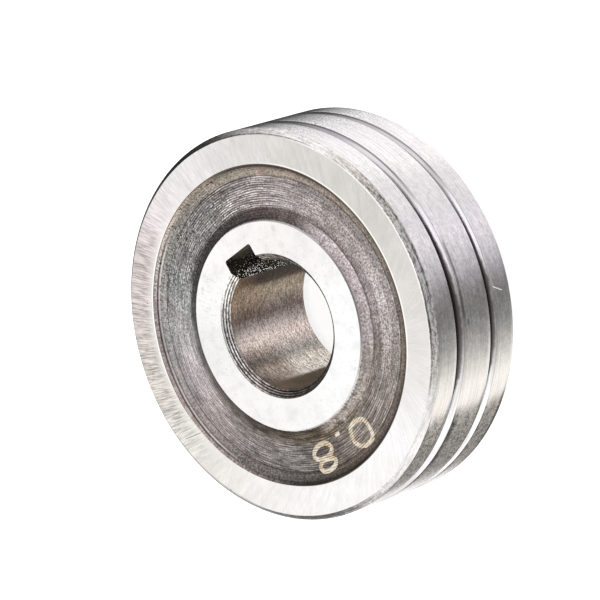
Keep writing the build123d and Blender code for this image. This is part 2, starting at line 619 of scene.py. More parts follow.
def recess_zones(f):
    """Painted shade and reflection of the recess from the hub to the rim, most of which change round the
    bore.
    """
    # Painted shade: the fillet beside the hub is darkened, most at the top and the upper left.
    inner = f.around([
        (0, 0.68, 0.6, 0.48), (20, 0.7, 0.66, 0.58), (40, 0.98, 0.93, 0.87), (60, 0.56, 0.5, 0.49),
        (90, 0.66, 0.61, 0.62), (118, 0.6, 0.56, 0.58), (135, 0.47), (148, 0.36, 0.335, 0.325),
        (172, 0.24, 0.22, 0.215), (220, 0.2), (245, 0.24), (270, 0.33), (300, 0.36, 0.34, 0.31),
        (325, 0.4, 0.36, 0.32), (345, 0.52, 0.47, 0.38),
    ])
    reach = f.blend(f.lobe(180, 28, 44), f.smooth(f.r, 9.55, 8.75), f.smooth(f.r, 9.14, 8.86))
    reach = f.blend(f.lobe(264, 20, 36), reach, f.smooth(f.r, 9.28, 8.78))
    f.tint(inner, reach)
    # Painted reflection: two rings of the floor are made lighter and darker round the bore, as they mirror
    # the studio.
    ring = f.around([
        (0, 0.54), (14, 1), (24, 1.12), (40, 0.8), (60, 1.12), (82, 1.24), (105, 1.06), (140, 0.94),
        (160, 0.88), (185, 1.08), (208, 1.06), (228, 0.9), (244, 0.92), (260, 1.32), (278, 1.08), (320, 0.98),
        (345, 1.05),
    ])
    f.tint(ring, f.band(9.7, 10.3, 0.35))
    ring = f.around([
        (0, 0.74), (20, 1), (45, 1.06), (65, 0.86), (90, 0.84), (120, 0.72), (140, 0.64), (160, 0.92),
        (185, 0.78), (205, 0.76), (222, 1.02), (242, 0.82), (262, 0.86), (280, 0.7), (300, 1.04), (322, 0.78),
        (345, 0.92),
    ])
    f.tint(ring, f.band(10.75, 11.35, 0.3))
    # Painted reflection and shade: the outer fillet is lighter over the top and the left and darker on the
    # right and at the bottom.
    outer = f.around([
        (0, 0.5), (20, 0.56, 0.51, 0.5), (45, 0.62, 0.57, 0.55), (60, 0.6, 0.56, 0.5), (90, 0.56, 0.52, 0.46),
        (120, 0.84, 0.78, 0.68), (142, 1, 0.92, 0.82), (160, 0.92, 0.85, 0.75), (180, 1.24, 1.2, 1.07),
        (210, 1.1, 1.1, 1.04), (240, 1.12), (270, 1), (300, 0.98), (325, 0.8), (345, 0.54),
    ])
    f.tint(outer, f.smooth(f.r, 11.28, 11.44))
    # A thin dark tool line runs all the way round where the outer fillet begins.
    f.tint(0.58, f.band(11.37, 11.42, 0.06))
    # Painted shade and light: the very edge under the rim is painted dark all round, and lighter on the left.
    rim_wall_shade = f.around([
        (0, 0.7), (15, 0.42), (30, 0.32), (45, 0.32), (60, 0.55), (90, 0.62), (120, 0.6), (150, 0.42),
        (168, 0.48), (185, 1, 0.97, 0.9), (210, 1.6, 1.55, 1.45), (234, 1.5, 1.42, 1.38), (250, 1.1, 1, 1.02),
        (270, 1.05, 0.97, 0.98), (285, 1.3, 1.2, 1.2), (300, 1.4), (325, 1), (345, 0.6),
    ])
    verge = f.minus(f.r, f.times(f.lobe(162, 20, 36), 0.08))
    f.tint(rim_wall_shade, f.smooth(verge, 11.98, 12.06))
    # Painted highlight: a bright line on the wall under the rim, on the left.
    sill_glint = f.most(f.lobe(285, 50, 66), f.lobe(214, 12, 28))
    f.tint((2.1, 2, 2), sill_glint, f.smooth(f.r, 12.11, 12.17))
    # Painted glint and shade lines along the outer fillet and wall.
    for low, high, angle, full, none, strength, shade in FILLET_GLINT_AND_SHADE_LINES:
        f.cover(seen(*shade), f.band(low, high, 0.035), f.lobe(angle, full, none), strength)


def hub_side(f, patch):
    """The fillet beside the hub: on the right a pale, granular, matte band of painted light between two
    painted dark shade lines.

    Gives the share of the painted bright highlight on the hub's rolled edge and the share of the matte band.
    """
    gravel = f.cloud(6.2, 2, 0.75)
    wavy = f.swayed(f.r, patch, 0.35)
    band = f.times(f.smooth(wavy, 8.82, 8.7), f.lobe(98, 26, 50))
    beach = f.times(f.smooth(f.swayed(wavy, patch, 1.1), 8.8, 8.5), f.lobe(34, 16, 32), 0.85)
    band = f.most(band, beach)
    pale = f.ramp(gravel, [
        (0.38, 0.8, 0.74, 0.74), (0.46, 0.56, 0.485, 0.485), (0.55, 0.44, 0.375, 0.375),
        (0.64, 0.24, 0.19, 0.19),
    ])
    pale = f.tinted(pale, (1.2, 1.18, 1.2), f.lobe(113, 14, 30))
    pale = f.tinted(pale, (0.88, 0.88, 0.8), f.lobe(34, 22, 38))
    pebbles = f.ramp(f.cloud(2.6, 3, 0.7), [(0.36, 0.5, 0.48, 0.45), (0.5, 1), (0.62, 1.3)])
    pale = f.tinted(pale, pebbles, f.lobe(34, 22, 38))
    f.cover(pale, band)
    # Painted shade: dark lines along the pale band and at the hub's edge.
    line = f.times(f.bandof(wavy, 8.84, 8.88, 0.05), f.lobe(98, 22, 44))
    f.cover(seen(96, 82, 82), line, f.smooth(gravel, 0.42, 0.54, 0.25, 0.85))
    frayed = f.swayed(f.r, gravel, 0.2)
    line = f.times(f.smooth(frayed, 8.1, 8.05), f.lobe(102, 32, 48))
    # Painted highlight: the very edge of the hub, which rolls over, is painted bright, less so on the right.
    lip_highlight = f.times(f.smooth(frayed, 8.12, 8.07), f.smooth(f.z, 9.7, 9.8), f.level([
        (0, 0.5), (30, 0.6), (46, 0.65), (60, 0.4), (74, 0.2), (105, 0.1), (130, 0.35), (145, 0.4),
        (175, 0.3), (188, 0.5), (198, 0.95), (310, 1), (345, 0.9),
    ]))
    matte = f.times(band, f.minus(1, f.most(line, lip_highlight)))
    f.cover((0.12, 0.105, 0.105), line, 0.7)
    blotch = f.times(f.bandof(wavy, 9.4, 9.56, 0.16), f.lobe(74, 14, 30))
    f.cover(seen(104, 92, 92), blotch, f.smooth(gravel, 0.42, 0.56, 0.1, 0.75))
    f.cover(seen(60, 48, 42), f.dot(190.5, 12, 0.16, 0.7))
    f.cover(seen(176, 130, 118), f.dot(166.5, 11.7, 0.5, 0.3))
    f.cover((0.88, 0.87, 0.86), lip_highlight)
    return lip_highlight, matte


def recess_finish():
    """Faced recess: feed lines, a salt and pepper grain and stains, with painted reflection round the bore
    and painted shade and glints along its fillets.
    """
    f = Finish("steel_recess")
    # Painted reflection: the base colour carries the bright bow tie that the turned rings mirror, lightest on
    # the right and the left.
    tone_and_reflection = f.around([
        (0, 122, 113, 105), (25, 140, 129, 120), (45, 150, 140, 134), (65, 168, 158, 152),
        (90, 188, 179, 176), (120, 177, 166, 162), (145, 182, 171, 167), (165, 176, 166, 162),
        (185, 160, 151, 147), (205, 148, 141, 137), (235, 152, 148, 144), (260, 186, 182, 179),
        (280, 186, 177, 175), (300, 167, 157, 153), (325, 143, 134, 130), (345, 141, 133, 129),
    ], seen)
    rings = f.streaks(6, 6, f.r, 2, 0.75, 0.15)
    feed = facing_feed(f)
    grain = f.streaks(70, 7.2, f.r, 2, 0.75)
    patch = f.cloud(0.8, 3, 0.65, 0.3)
    clear = f.level([
        (0, 1), (46, 0.95), (62, 0.45), (110, 0.2), (135, 0.35), (158, 0.85), (195, 1), (212, 0.7),
        (250, 0.55), (290, 0.55), (320, 0.75), (345, 1),
    ])
    lines = f.ramp(rings, [(0.38, 0.52), (0.47, 0.87), (0.54, 1.11, 1.13, 1.15), (0.62, 1.5, 1.55, 1.59)])
    clear = f.times(clear, f.smooth(f.r, 11.6, 11.3, 0.25, 1))
    sunk = f.times(f.lobe(180, 30, 46), f.smooth(f.r, 9.12, 8.88))
    clear = f.times(clear, f.minus(1, f.times(sunk, 0.65)))
    f.colour = f.tinted(tone_and_reflection, lines, clear)
    shown = f.times(clear, f.smooth(patch, 0.34, 0.56))
    f.tint(f.mix(f.smooth(feed, -0.6, 0.8), (0.64, 0.64, 0.65), (1.46, 1.5, 1.53)), shown)
    f.tint(f.mix(f.smooth(feed, -0.3, 0.5), 0.68, 1.3), shown, f.lobe(200, 20, 40))
    salt = f.ramp(grain, [(0.4, 0.5), (0.5, 0.97), (0.6, 1.52, 1.58, 1.62)])
    calm = f.times(f.smooth(f.r, 11.3, 11.6), f.lobe(188, 32, 50), 0.4)
    calm = f.minus(1, f.plus(calm, f.times(f.lobe(277, 26, 42), 0.4)))
    f.tint(salt, f.smooth(clear, 0.3, 1, 0.92, 0.5), calm)
    pepper = f.ramp(f.cloud(6, 2, 0.75), [(0.38, 0.45), (0.48, 0.94), (0.56, 1.14), (0.64, 1.5, 1.54, 1.58)])
    f.tint(pepper, f.lobe(222, 26, 50), calm)
    f.tint(f.ramp(patch, [(0.3, 0.74, 0.76, 0.75), (0.5, 1), (0.7, 1.22, 1.17, 1.15)]), 0.8)
    green = f.smooth(f.cloud(1.5, 2, 0.6), 0.42, 0.56)
    f.tint((1.2, 1.32, 1.28), f.dot(240, 9.9, 2.2, 1), green, 0.55)
    recess_zones(f)
    pits = f.cloud(4.6, 2, 0.7)
    where = f.level([(0, 0.3), (90, 0.5), (150, 0.5), (200, 1), (240, 0.9), (270, 0.4)])
    f.cover(seen(54, 47, 47), f.smooth(pits, 0.6, 0.66), where)
    crumbs = f.times(f.smooth(pits, 0.43, 0.39), f.smooth(f.r, 9.4, 8.5))
    f.cover(seen(214, 206, 196), crumbs, f.lobe(45, 25, 42), 0.5)
    lip_highlight, matte = hub_side(f, patch)
    height = f.plus(f.times(rings, clear), f.times(grain, 0.6), f.times(feed, f.times(clear, 0.12)))
    normal = f.raised(f.bump(height, 0.012), lip_highlight, 2)
    return f.steel(0.42, normal, 0.5, metallic=f.minus(1, matte))


# Small dark marks on the rolling surface, measured at one radius: angle, height, half sizes round
# and along, and darkness.
NICK_RADIUS = 15.0
LAND_NICKS = (
    (115.7, 7.38, 0.16, 0.14, 0.85), (154.3, 6.3, 0.2, 0.16, 0.7), (75, 5.9, 0.3, 0.22, 0.4),
    (72, 8.9, 0.09, 0.09, 0.5),
)

# A short pale scratch behind the narrow groove: its angle at the back face, the degrees that it
# turns to a millimetre of height, and the heights of its ends.
SLANT_ANGLE = 78.15
SLANT_TURN = 1.72
SLANT_ENDS = (1.55, 2.4)


def land_dirt(f, cloud, dapple):
    """Dark oily bands on the lower right, behind each groove and along both ends of the roller."""
    wavy = f.swayed(f.z, cloud, 0.25)
    band = f.times(f.smooth(wavy, 5.7, 6.2), f.smooth(f.z, 6.8, 6.7))
    band = f.most(band, f.times(f.smooth(wavy, 2.36, 2.5), f.smooth(f.z, 2.9, 2.8)))
    band = f.times(band, f.smooth(dapple, 0.4, 0.56, 0.95, 0.6))
    black = f.times(f.smooth(f.z, 6.28, 6.38), f.smooth(f.z, 6.8, 6.7))
    ends = f.most(f.smooth(f.z, 9.4, 9.46), f.smooth(wavy, 1.05, 0.75))
    lips = f.most(f.bandof(f.z, 7.4, 7.52, 0.05), f.bandof(f.z, 3.3, 3.52, 0.05))
    dirty = f.most(band, ends, f.times(lips, 0.75))
    dirty = f.most(f.times(dirty, 0.85), f.times(black, 0.97))
    f.tint(0.1, dirty, f.lobe(32, 14, 19))
    f.tint((0.26, 0.26, 0.235), f.bandof(wavy, 6.24, 6.38, 0.13), f.lobe(87, 8, 14), 0.8)


def land_nicks(f):
    """Small dark marks of the rolling surface."""
    for angle, height, wide, long, strength in LAND_NICKS:
        a = turned(angle)
        away = f.vector("SUBTRACT", f.place, (NICK_RADIUS * math.cos(a), NICK_RADIUS * math.sin(a), height))
        away = f.vector("MULTIPLY", away, (1 / wide, 1 / wide, 1 / long))
        f.cover((0.07, 0.06, 0.06), f.smooth(f.vector("LENGTH", away), 1, 0.5, 0, strength))


def land_finish():
    """Rolling surface: fine lines round the roller, dapples, specks and oily dirt, with painted dark
    reflection near the top.
    """
    f = Finish("steel_land")
    brush = f.streaks(4, 13, f.z, 4, 0.65)
    grain = f.streaks(105, 7.5, f.z, 2, 0.75)
    cloud = f.cloud(0.5, 3, 0.6)
    f.colour = f.mix(f.smooth(brush, 0.36, 0.64), (0.64, 0.625, 0.615), (0.8, 0.78, 0.77))
    strokes = f.streaks(30, 3, f.z, 3, 0.65, 0.3)
    f.tint(f.ramp(strokes, [(0.36, 0.88), (0.64, 1.12)]), f.lobe(86, 12, 26))
    dapple = f.cloud(2.4, 3, 0.7, 0.4)
    dapples = f.ramp(dapple, [(0.36, 0.5, 0.5, 0.475), (0.5, 0.93, 0.91, 0.875), (0.64, 1.3, 1.28, 1.22)])
    f.tint(dapples, f.lobe(33, 11, 17))
    f.tint(f.ramp(cloud, [(0.3, 0.9, 0.9, 0.905), (0.6, 1)]), 0.6)
    speck = f.level([
        (0, 0.3), (15, 0.5), (24, 0.9), (42, 0.9), (47, 0.3), (51, 0.04), (70, 0.08), (80, 0.18), (95, 0.12),
        (115, 0.06), (142, 0.1), (152, 0.5), (158, 0.9), (175, 1), (190, 0.5),
    ])
    f.tint(f.ramp(grain, [(0.38, 0.34), (0.5, 0.95), (0.6, 1.7)]), speck)
    # Painted reflection: the surface is darkened near the top, where it mirrors the dark side, with a lighter
    # line beside it.
    f.tint(f.around([
        (0, 1, 0.98, 0.95), (20, 1.03, 0.985, 0.93), (45, 1.02, 0.975, 0.92), (66, 1, 0.99, 0.94),
        (76, 0.99, 0.99, 0.96), (86, 1, 0.965, 1.01), (99, 1, 0.965, 1.02), (125, 1, 0.975, 0.99),
        (150, 0.99, 0.98, 1.01), (158, 1.12, 1.11, 1.13), (165, 1, 1, 1.02), (170, 0.7), (174, 0.5),
        (186, 0.5), (196, 0.8), (230, 1),
    ]))
    # Painted reflection: the front end is painted dark a little left of the top.
    f.tint(0.15, f.lobe(201, 14, 20), f.smooth(f.z, 8.9, 9.3))
    land_dirt(f, cloud, dapple)
    faint = f.ramp(dapple, [(0.36, 0.9, 0.9, 0.915), (0.5, 1), (0.64, 1.08, 1.06, 1.075)])
    f.tint(faint, f.lobe(98, 30, 46))
    land_nicks(f)
    lean = f.minus(f.angle, f.times(f.z, SLANT_TURN))
    scratch = f.times(f.band_at(lean, SLANT_ANGLE, 0.26), f.bandof(f.z, *SLANT_ENDS, 0.1))
    f.cover((0.9, 0.88, 0.86), scratch)
    height = f.plus(brush, f.times(grain, f.times(speck, 0.8)))
    rough = f.smooth(cloud, 0.3, 0.7, 0.17, 0.1)
    rough = f.blend(f.lobe(48, 10, 24), rough, 0.05)
    # Reflections are tinted dark at grazing angles near the top, to keep the painted dark reflection there.
    edge = f.mix(f.lobe(188, 15, 22), 1, 0.12)
    matte = f.minus(1, f.times(scratch, 0.85))
    return f.steel(rough, f.bump(height, 0.0035), 0.35, edge=edge, metallic=matte)


def groove_finish():
    """Flanks of the V grooves, with soot and painted shade down to their roots, painted dark reflection near
    the top and a painted glint on the right.
    """
    f = Finish("steel_groove")
    brush = f.streaks(4, 13, f.z, 4, 0.65)
    f.colour = f.mix(f.smooth(brush, 0.36, 0.64), (0.72, 0.69, 0.7), (0.96, 0.94, 0.95))
    # Painted reflection: the flanks are darkened towards the top, where they mirror the dark side, and a
    # little on the right.
    f.tint(f.around([
        (0, 0.85), (20, 0.95), (45, 1), (57, 0.95), (66, 0.75), (76, 0.62), (86, 0.75), (94, 0.88),
        (118, 0.86), (128, 0.84, 0.83, 0.85), (137, 0.68, 0.67, 0.69), (146, 0.5, 0.49, 0.51),
        (155, 0.32, 0.31, 0.33), (161, 0.13, 0.13, 0.135), (168, 0.06), (182, 0.06), (215, 0.6), (300, 0.8),
    ]))
    # Soot and painted shade fill the groove up to a level that changes round the roller.
    soot_and_shade_level = f.level([
        (0, 0.42), (52, 0.52), (61, 0.78), (70, 0.88), (86, 0.86), (93, 0.76), (104, 0.64), (114, 0.55),
        (124, 0.48), (148, 0.5), (156, 0.6), (163, 0.72), (200, 0.6), (300, 0.5),
    ])
    deep = f.swayed(f.minus(f.r, 14), f.cloud(1.3, 3, 0.65), 0.3)
    f.cover((0.2, 0.17, 0.17), f.smooth(f.minus(soot_and_shade_level, deep), -0.12, 0.07))
    f.tint(0.3, f.smooth(f.r, 14.86, 14.93), f.lobe(142, 18, 28), 0.8)
    # Low on the right the flank nearer the front is shaded towards its mouth.
    front = f.most(f.smooth(f.z, 7.2, 7.4), f.times(f.smooth(f.z, 3.12, 3.3), f.smooth(f.z, 5, 4)))
    f.tint(0.25, front, f.lobe(40, 16, 22), 0.85)
    # Painted highlight: a glint on the rear flank of the wide groove, on the right.
    f.tint((1.2, 1.17, 1.23), f.smooth(f.z, 6.95, 6.75), f.smooth(f.r, 14.5, 14.62), f.lobe(101, 7, 15))
    f.tint((1, 1.025, 1), f.lobe(54, 14, 26))
    return f.steel(0.2, f.bump(brush, 0.004), 0.4)


def chamfer_finish():
    """Edges between the faces and the rolling surface, streaked and mottled, with painted reflection round
    the bore and painted highlights at their edges.
    """
    f = Finish("steel_chamfer")
    brush = f.streaks(7, 8, f.r, 3, 0.7)
    mottle = f.cloud(4.4, 3, 0.75)
    streak = f.streaks(30, 9, f.r, 3, 0.75)
    f.colour = f.mix(f.smooth(brush, 0.4, 0.6), (0.66, 0.63, 0.62), (0.86, 0.84, 0.83))
    blotch = f.level([
        (0, 0.6), (30, 0.15), (50, 0.1), (62, 0.3), (72, 0.9), (115, 1), (130, 0.4), (150, 0.3), (180, 0.6),
        (230, 0.35), (300, 0.2), (330, 0.6),
    ])
    f.tint(f.ramp(streak, [(0.38, 0.34), (0.47, 0.86), (0.55, 1.12), (0.64, 1.55)]), blotch)
    f.tint(f.ramp(mottle, [(0.4, 0.6), (0.5, 0.98), (0.62, 1.2)]), blotch)
    # Painted reflection: the chamfer is darkened at the bottom and over the top and left, where it mirrors
    # the dark side, and lightened on the right.
    f.tint(f.around([
        (0, 0.45), (10, 0.8), (22, 1.05), (55, 1), (64, 1, 0.98, 0.93), (80, 1.15), (95, 1.25),
        (112, 1.34, 1.28, 1.22), (124, 1, 0.94, 0.88), (140, 1.1), (160, 1), (172, 0.8), (184, 0.32),
        (192, 0.26), (203, 0.22), (214, 0.22), (226, 0.3), (240, 0.2), (255, 0.28), (290, 0.42), (306, 0.7),
        (322, 0.6), (345, 0.42),
    ]))
    # Thin dark lines run along both its edges on the right.
    inner = f.most(f.lobe(74, 10, 20), f.lobe(166, 14, 22))
    rails = f.times(f.band_at(f.r, 14.62, 0.055), inner)
    rails = f.most(rails, f.times(f.band_at(f.r, 14.91, 0.05), f.lobe(102, 13, 20)))
    f.tint(0.3, rails, f.smooth(mottle, 0.4, 0.54, 0.35, 0.95))
    fleck = f.streaks(16, 13, f.r, 3, 0.75)
    f.tint(f.ramp(fleck, [(0.36, 0.5), (0.47, 0.95), (0.6, 1.2, 1.18, 1.24)]), f.lobe(98, 18, 32))
    # Painted highlight: the edge towards the front face, which rolls over, is painted bright in places.
    lip_highlight = f.most(f.lobe(345, 34, 50), f.lobe(212, 14, 26), f.lobe(108, 15, 27))
    lip_highlight = f.times(lip_highlight, f.smooth(f.r, 14.6, 14.55))
    f.cover((0.8, 0.79, 0.78), lip_highlight)
    # Painted highlight along the outer edge at the bottom.
    f.tint(2, f.smooth(f.r, 14.84, 14.9), f.lobe(346, 18, 32))
    rough = f.level([(0, 0.2), (205, 0.22), (232, 0.6), (250, 0.8), (295, 0.75), (318, 0.4), (335, 0.22)])
    return f.steel(rough, f.raised(f.bump(mottle, 0.02), lip_highlight, 2), 0.2)


# Angle at which the painted dark reflection at the bottom of the bore begins.
BORE_SHADE = 325


def bore_finish():
    """Wall of the bore, which changes from the front to the back, with turning marks, painted reflection
    round the bore and painted shade.
    """
    f = Finish("steel_bore")
    # Painted reflection: the wall is lightest on the left, where it mirrors the bright side, and darker
    # elsewhere, most near the top.
    near = f.around([
        (0, 0.23, 0.19, 0.16), (200, 0.14, 0.105, 0.07), (222, 0.165, 0.118, 0.076),
        (234, 0.26, 0.195, 0.135), (246, 0.345, 0.255, 0.195), (256, 0.44, 0.335, 0.29),
        (264, 0.93, 0.75, 0.7), (275, 0.92, 0.765, 0.69), (286, 0.39, 0.32, 0.285), (296, 0.148, 0.12, 0.104),
        (306, 0.255, 0.205, 0.17), (318, 0.24, 0.195, 0.165), (345, 0.3, 0.25, 0.22),
    ])
    far = f.around([
        (0, 0.35, 0.3, 0.26), (200, 0.12, 0.092, 0.064), (222, 0.18, 0.14, 0.1), (234, 0.26, 0.207, 0.154),
        (246, 0.39, 0.32, 0.265), (256, 0.47, 0.37, 0.345), (264, 0.88, 0.73, 0.68), (275, 0.82, 0.67, 0.62),
        (286, 0.48, 0.41, 0.375), (296, 0.29, 0.265, 0.24), (306, 0.46, 0.41, 0.36), (320, 0.46, 0.41, 0.37),
        (330, 0.42, 0.37, 0.32),
    ])
    f.colour = f.mix(f.smooth(f.z, 6.6, 4.6), near, far)
    # Painted light: the wall is brightened towards the front end.
    mouth = f.level([
        (0, 0.4), (205, 0.45), (216, 0.6), (224, 0.8), (245, 0.6), (260, 0.4), (282, 0.4), (292, 0.1),
        (302, 0.1), (312, 0.4),
    ])
    f.tint(2.6, mouth, f.smooth(f.z, 8.7, 9.2))
    # Painted shade: beside the keyway the wall is darkened with depth, and a little further round it is
    # painted lighter towards the front.
    reach = f.math("MINIMUM", f.minus(WIDTH, f.z), 4)
    shade_wedge = f.minus(f.angle, f.times(reach, 2.2))
    f.tint((0.36, 0.32, 0.27), f.smooth(shade_wedge, 221, 216.5), f.smooth(f.z, 8.6, 6.4))
    f.tint(2, f.lobe(218, 7, 16), f.smooth(f.z, 7, 8.6))
    turning = f.streaks(8, 9.5, f.z, 3, 0.75, 0.35)
    grain = f.streaks(36, 9, f.z, 2, 0.7)
    f.tint(f.ramp(turning, [(0.38, 0.52), (0.5, 0.97), (0.62, 1.6)]), 0.9)
    f.tint(f.ramp(grain, [(0.4, 0.56), (0.5, 0.99), (0.62, 1.5)]), 0.9)
    f.colour = f.mix(1, f.colour, (1, 0.88, 0.83), "DARKEN")
    # Painted reflection: the bottom of the bore is painted with the dark shape that it mirrors, which has a
    # straight, slightly ragged edge.
    ragged = f.swayed(f.times(f.minus(grain, 0.5), 12), turning, 8)
    over = f.minus(f.plus(f.angle, ragged), BORE_SHADE)
    soft = f.smooth(f.z, 6.6, 9, 1, 7)
    shade = f.times(f.smooth(f.math("DIVIDE", over, soft), -0.8, 0.8), f.math("LESS_THAN", over, 60))
    dim = f.ramp(f.smooth(f.z, 9.4, 2.4), [
        (0, 0.25, 0.22, 0.185), (0.22, 0.13, 0.112, 0.092), (0.6, 0.075, 0.064, 0.052),
    ])
    f.cover(dim, shade)
    height = f.plus(turning, f.times(grain, 0.6))
    edge = f.mix(shade, 1, (0.58, 0.54, 0.5))
    return f.steel(0.26, f.bump(height, 0.006), 0.4, edge=edge)


def lead_finish():
    """Lead-in chamfers of the bore, with a dark line in each tool ring and painted reflection round the bore.
    """
    f = Finish("steel_lead")
    brush = f.streaks(16, 7, f.r, 3, 0.75)
    # Painted reflection: the chamfer is lightest on the upper left and nearly black at the bottom, as it
    # mirrors the studio.
    tone_and_reflection = f.around([
        (0, 0.06, 0.055, 0.05), (30, 0.06, 0.055, 0.05), (90, 0.1, 0.095, 0.09), (130, 0.14, 0.13, 0.12),
        (160, 0.2, 0.18, 0.16), (184, 0.3, 0.27, 0.24), (195, 0.6, 0.55, 0.49), (225, 0.78, 0.74, 0.7),
        (250, 0.7, 0.66, 0.64), (280, 0.52, 0.48, 0.46), (305, 0.34, 0.31, 0.3), (325, 0.17, 0.15, 0.145),
        (345, 0.08, 0.075, 0.07),
    ])
    rings = f.math("SINE", f.times(f.minus(f.r, BORE_RADIUS + LEAD_START), math.tau / LEAD_PITCH))
    dark = f.smooth(rings, 0.25, -0.75, 1, 0)
    pale = f.times(f.lobe(212, 16, 46), f.smooth(f.r, 5.08, 5.4, 0.3, 0.9))
    pale = f.most(pale, f.times(f.lobe(328, 12, 26), f.smooth(f.r, 5.12, 5.3, 0, 0.6)))
    shade = f.mix(dark, f.mix(pale, (0.12, 0.11, 0.11), (0.7, 0.64, 0.58)), 1.6)
    last = f.times(f.lobe(226, 18, 34), f.smooth(f.r, 5.14, 5.08))
    f.colour = f.tinted(tone_and_reflection, f.tinted(shade, 0.6, last))
    f.tint(f.ramp(brush, [(0.4, 0.4), (0.5, 1), (0.6, 1.8)]))
    return f.steel(0.28, f.bump(brush, 0.01), 0.3)


def keyway_finish():
    """Walls of the broached keyway: dark stains and painted shade under painted glints of bright specks."""
    f = Finish("steel_keyway")
    crumbs = f.cloud(7.2, 2, 0.7)
    larger = f.cloud(1.1, 2, 0.6)
    x, y = f.split(f.place, 0), f.split(f.place, 1)
    # The specks crowd towards the bore and towards the back.
    limit = f.plus(f.smooth(x, 4.9, 6.3, 0.568, 0.625), f.smooth(f.z, 9.9, 7, 0.03, 0))
    limit = f.swayed(limit, larger, 0.16)
    bright = f.smooth(f.minus(crumbs, limit), 0, 0.02)
    glint_sparkle = f.times(bright, f.smooth(y, 1.3, 1.46))
    # Painted glints: the specks are coloured near white.
    speck = f.mix(f.smooth(x, 4.9, 6.2), (1, 0.96, 0.9), (0.5, 0.47, 0.42))
    # Dark stains and painted shade, darkest in the inner corners.
    stain_and_shade = f.ramp(larger, [(0.35, 0.05, 0.042, 0.034), (0.65, 0.13, 0.113, 0.09)])
    corner = f.times(f.smooth(x, 6.18, 6.26), f.smooth(y, 1.28, 1.34))
    stain_and_shade = f.tinted(stain_and_shade, 0.3, corner)
    end_wall = f.smooth(x, 6.34, 6.38)
    stain_and_shade = f.tinted(stain_and_shade, 1.7, end_wall)
    f.colour = f.mix(glint_sparkle, stain_and_shade, speck)
    # Painted glints: the crumbs' bright facets are painted pale and their normals look up, out of the keyway.
    edge = f.mix(glint_sparkle, (0.5, 0.46, 0.41), 1)
    metal = f.blend(end_wall, f.blend(glint_sparkle, 0.75, 1), 0.35)
    return f.steel(0.35, f.raised(f.bump(crumbs, 0.02), glint_sparkle, 2.1), edge=edge, metallic=metal)


def back_finish():
    """Back face, which the photograph doesn't show: plainly turned and a little brushed."""
    f = Finish("steel_back")
    turning = f.streaks(6, 9, f.r, 3, 0.65)
    strokes = f.streaks(70, 0.7, f.r, 3, 0.6, 0.3)
    cloud = f.cloud(0.6, 3, 0.6)
    f.colour = f.mix(f.smooth(cloud, 0.3, 0.7), (0.6, 0.59, 0.575), (0.7, 0.69, 0.68))
    f.tint(f.ramp(strokes, [(0.3, 0.8), (0.5, 1)]), 0.5)
    return f.steel(0.3, f.bump(turning, 0.004), 0.3)


def mark_finish():
    """Strokes of the size mark, crossed by the dark feed lines of the recess."""
    f = Finish("steel_size_mark")
    cloud = f.cloud(2.2, 3, 0.6)
    f.colour = f.ramp(cloud, [
        (0.36, *seen(218, 198, 172)), (0.5, *seen(238, 222, 198)), (0.62, *seen(250, 244, 232)),
    ])
    ticks = f.streaks(12, 8.5, f.r, 2, 0.7, 0.2)
    f.cover(seen(104, 80, 62), f.smooth(facing_feed(f), -0.4, -0.75), f.smooth(ticks, 0.6, 0.5), 0.9)
    return f.steel(0.5, f.bump(ticks, 0.01))


finishes = {
    "bore": bore_finish(),
    "lead": lead_finish(),
    "hub": hub_finish(),
    "recess": recess_finish(),
    "rim": rim_finish(),
    "chamfer": chamfer_finish(),
    "land": land_finish(),
    "groove": groove_finish(),
    "back": back_finish(),
    "keyway": keyway_finish(),
}

# The size mark: the plain wire size, in millimetres, in strokes drawn in a flat frame whose first axis
# runs clockwise round the face and whose second is the distance from the bore axis. Each loop has its
# angle and the points that its closed stroke runs through. The strokes' width is a little ragged.
MARK_STROKE = 0.2
MARK_LIFT = 0.012
MARK_RAGGED = 0.1
MARK_CELLS = 4.0
MARK_LOOPS = (
    (24.9, (
        (-0.38, 11.34), (0.3, 11.31), (0.78, 11.04), (1.02, 10.62), (1.0, 10.2), (0.85, 9.86), (0.5, 9.45),
        (-0.22, 9.42), (-0.68, 9.62), (-0.94, 9.9), (-0.94, 10.4), (-0.86, 10.9), (-0.66, 11.2),
    )),
    (1.2, (
        (-0.84, 9.86), (-0.76, 10.13), (-0.4, 10.38), (0.2, 10.52), (0.75, 10.48), (1.06, 10.22),
        (0.95, 9.87), (0.6, 9.57), (0.15, 9.42), (-0.35, 9.42), (-0.7, 9.6),
    )),
    (1.2, (
        (-0.87, 10.95), (-0.7, 11.2), (-0.3, 11.4), (0.2, 11.48), (0.6, 11.41), (0.79, 11.15),
        (0.66, 10.86), (0.3, 10.66), (-0.2, 10.61), (-0.65, 10.68), (-0.85, 10.8),
    )),
)
# Outline of a stroke's section: share of its half width and share of its lift.
MARK_SECTION = ((-1.0, -0.02), (-0.86, 1.0), (0.0, 1.15), (0.86, 1.0), (1.0, -0.02), (0.0, -2.0))
LOOP_STEPS = 6
# The point: its angle and radius and half its two sizes, and the share and lift of each of its rings.
MARK_POINT = (12.7, 9.24, 0.29, 0.17)
POINT_RINGS = ((1.0, 1.0, -0.02), (0.85, 0.8, 1.0), (0.5, 0.5, -2.0))
POINT_STEPS = 24


def recess_height(radius):
    """Height of the front recess floor and its outer fillet at a radius."""
    centre = RECESS_RADIUS - RECESS_RUN - FILLET * math.tan(DRAFT)
    over = max(0.0, radius - centre)
    return WIDTH - RECESS_DEPTH + FILLET - math.sqrt(FILLET ** 2 - min(over, FILLET * 0.9) ** 2)


